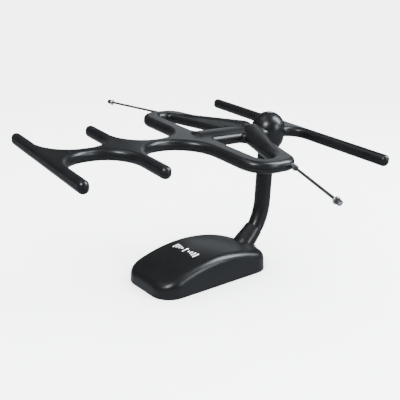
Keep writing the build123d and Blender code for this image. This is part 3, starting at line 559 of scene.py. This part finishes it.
def threaded_barrel():
    """The socket's barrel: smooth inside the wall, then a relief groove, a cut thread and a bored nose."""
    start = Vector((0, JACK_FRONT, JACK_Z)) * MM
    run_in = THREAD_FRONT - JACK_FRONT
    length = JACK_END - JACK_FRONT
    root = JACK_RADIUS - THREAD_DEPTH
    profile = [(length - BORE_CHAMFER[0], JACK_BORE), (0, JACK_BORE), (0, JACK_RADIUS)]
    profile.append((run_in - RELIEF_FRONT, JACK_RADIUS))
    profile.append((run_in - RELIEF_FRONT + RELIEF_FLANK, JACK_RADIUS - RELIEF_DEPTH))
    profile.append((run_in - RELIEF_REAR, JACK_RADIUS - RELIEF_DEPTH))
    for turn in range(int((length - run_in - NOSE_LENGTH) / THREAD_PITCH)):
        foot = run_in + turn * THREAD_PITCH
        profile.append((foot, root))
        profile += [(foot + THREAD_PITCH * part, JACK_RADIUS) for part in THREAD_CREST]
    profile.append((length - NOSE_LENGTH, root))
    profile.append((length, JACK_RADIUS - NOSE_STEP))
    profile.append((length, JACK_BORE + BORE_CHAMFER[1]))
    profile.append((length - BORE_CHAMFER[0], JACK_BORE))
    return turned(profile, start, (0, 1, 0))


def hexagon(front, rear, radius, bore):
    """A build function for a hexagonal nut along Y with chamfered corners, in millimetres."""
    flat_radius = radius * math.cos(HALF_FLAT)

    def build(shape):
        outer = [
            hexagon_loop(shape, front, flat_radius, True),
            hexagon_loop(shape, front + NUT_CHAMFER_LENGTH, radius, False),
            hexagon_loop(shape, rear - NUT_CHAMFER_LENGTH, radius, False),
            hexagon_loop(shape, rear, flat_radius, True),
        ]
        inner = [hexagon_loop(shape, along, bore, True) for along in (rear, front)]
        rings = outer + inner
        for first, second in zip(rings, rings[1:] + rings[:1]):
            join_rings(shape, first, second, NUT_STEPS)

    return build


def hexagon_loop(shape, along, radius, is_round):
    """One ring of a nut: round, or following the six flats."""
    ring = []
    for step in range(NUT_STEPS):
        turn = 2 * math.pi * step / NUT_STEPS
        off_flat = (turn + HALF_FLAT) % (2 * HALF_FLAT) - HALF_FLAT
        flat = radius * math.cos(HALF_FLAT) / math.cos(HALF_FLAT - abs(off_flat))
        reach = radius if is_round else flat
        corner = Vector((reach * math.cos(turn), along, JACK_Z + reach * math.sin(turn)))
        ring.append(shape.verts.new(corner * MM))
    return ring


def socket_pieces():
    """The coaxial socket's threaded barrel, its body hexagon and its mounting nut."""
    nickel = MATERIALS["nickel_plate"]
    barrel = mesh_object("socket_barrel", threaded_barrel(), nickel, THREAD_SMOOTHING)
    flange = hexagon(JACK_HEX_FRONT, JACK_HEX_REAR, JACK_HEX_RADIUS, JACK_RADIUS)
    flange = mesh_object("socket_flange", flange, nickel)
    nut = mesh_object("socket_nut", hexagon(NUT_FRONT, NUT_REAR, NUT_RADIUS, JACK_RADIUS), nickel)
    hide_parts("coax_jack")
    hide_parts("jack_nut")
    for piece in (barrel, flange, nut):
        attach(piece, "base")


# ---------------------------------------------------------------- floor, light and camera

def pale_floor():
    """A large pale floor, a little uneven in tone, under the object."""
    material, tree, shader = new_material("pale_floor")
    tone = spread(tree, noise(tree, place(tree), scale=6.0), 0.0, 1.0)
    colour = colour_mix(tree, tone, (0.86, 0.86, 0.86), (0.89, 0.89, 0.89))
    tree.links.new(colour, shader.inputs["Base Color"])
    shader.inputs["Roughness"].default_value = 0.9
    shader.inputs["Specular IOR Level"].default_value = 0.1
    mesh = bpy.data.meshes.new("floor")
    corners = [(-1, -1), (1, -1), (1, 1), (-1, 1)]
    mesh.from_pydata([(x * FLOOR_HALF, y * FLOOR_HALF, 0) for x, y in corners], [], [(0, 1, 2, 3)])
    mesh.materials.append(material)
    floor = bpy.data.objects.new("floor", mesh)
    floor.visible_glossy = False
    scene.collection.objects.link(floor)


def surroundings():
    """White surroundings that the camera sees and that fill the shadows, and dim ones for reflections."""
    world = bpy.data.worlds.new("world")
    scene.world = world
    world.use_nodes = True
    tree = world.node_tree
    seen = tree.nodes["Background"]
    fill = tree.nodes.new("ShaderNodeBackground")
    reflected = tree.nodes.new("ShaderNodeBackground")
    for node, colour in ((seen, SEEN_COLOUR), (fill, FILL_COLOUR), (reflected, REFLECTED_COLOUR)):
        node.inputs["Color"].default_value = colour
    seen.inputs["Strength"].default_value = SEEN_LEVEL
    fill.inputs["Strength"].default_value = FILL_LEVEL
    height = tree.nodes.new("ShaderNodeSeparateXYZ")
    tree.links.new(tree.nodes.new("ShaderNodeTexCoord").outputs["Generated"], height.inputs[0])
    level = spread(tree, height.outputs["Z"], REFLECTED_BELOW, REFLECTED_ABOVE, *REFLECTED_EDGE)
    tree.links.new(level, reflected.inputs["Strength"])
    ray = tree.nodes.new("ShaderNodeLightPath")
    unseen = ray_switch(tree, ray.outputs["Is Glossy Ray"], fill.outputs[0], reflected.outputs[0])
    surface = ray_switch(tree, ray.outputs["Is Camera Ray"], unseen, seen.outputs[0])
    tree.links.new(surface, tree.nodes["World Output"].inputs["Surface"])


def ray_switch(tree, is_ray, otherwise, chosen):
    """The chosen shader for one kind of ray, and the other shader for the rest."""
    node = tree.nodes.new("ShaderNodeMixShader")
    tree.links.new(is_ray, node.inputs["Fac"])
    tree.links.new(otherwise, node.inputs[1])
    tree.links.new(chosen, node.inputs[2])
    return node.outputs[0]


def soft_boxes():
    """Rectangular studio lights, each looking at the hub or at the base."""
    for name, (aim, offset, width, height, power) in SOFT_BOXES.items():
        data = bpy.data.lights.new(name, "AREA")
        data.shape = "RECTANGLE"
        data.size = width
        data.size_y = height
        data.energy = power
        data.color = LAMP_COLOUR
        light = bpy.data.objects.new(name, data)
        light.location = aim + Vector(offset)
        light.rotation_euler = (-Vector(offset)).to_track_quat("-Z", "Y").to_euler()
        scene.collection.objects.link(light)


def add_camera():
    """The camera, looking down at the object from its front right."""
    data = bpy.data.cameras.new("camera")
    data.lens = CAMERA_LENS
    data.sensor_width = SENSOR_WIDTH
    camera = bpy.data.objects.new("camera", data)
    camera.location = CAMERA_PLACE
    camera.rotation_euler = (math.radians(90 - CAMERA_ELEVATION), 0, math.radians(CAMERA_AZIMUTH))
    scene.collection.objects.link(camera)
    scene.camera = camera


add_camera()
surroundings()
soft_boxes()
pale_floor()
dress_cad_nodes()
for side_name in SIDES:
    tip_pieces(side_name)
socket_pieces()
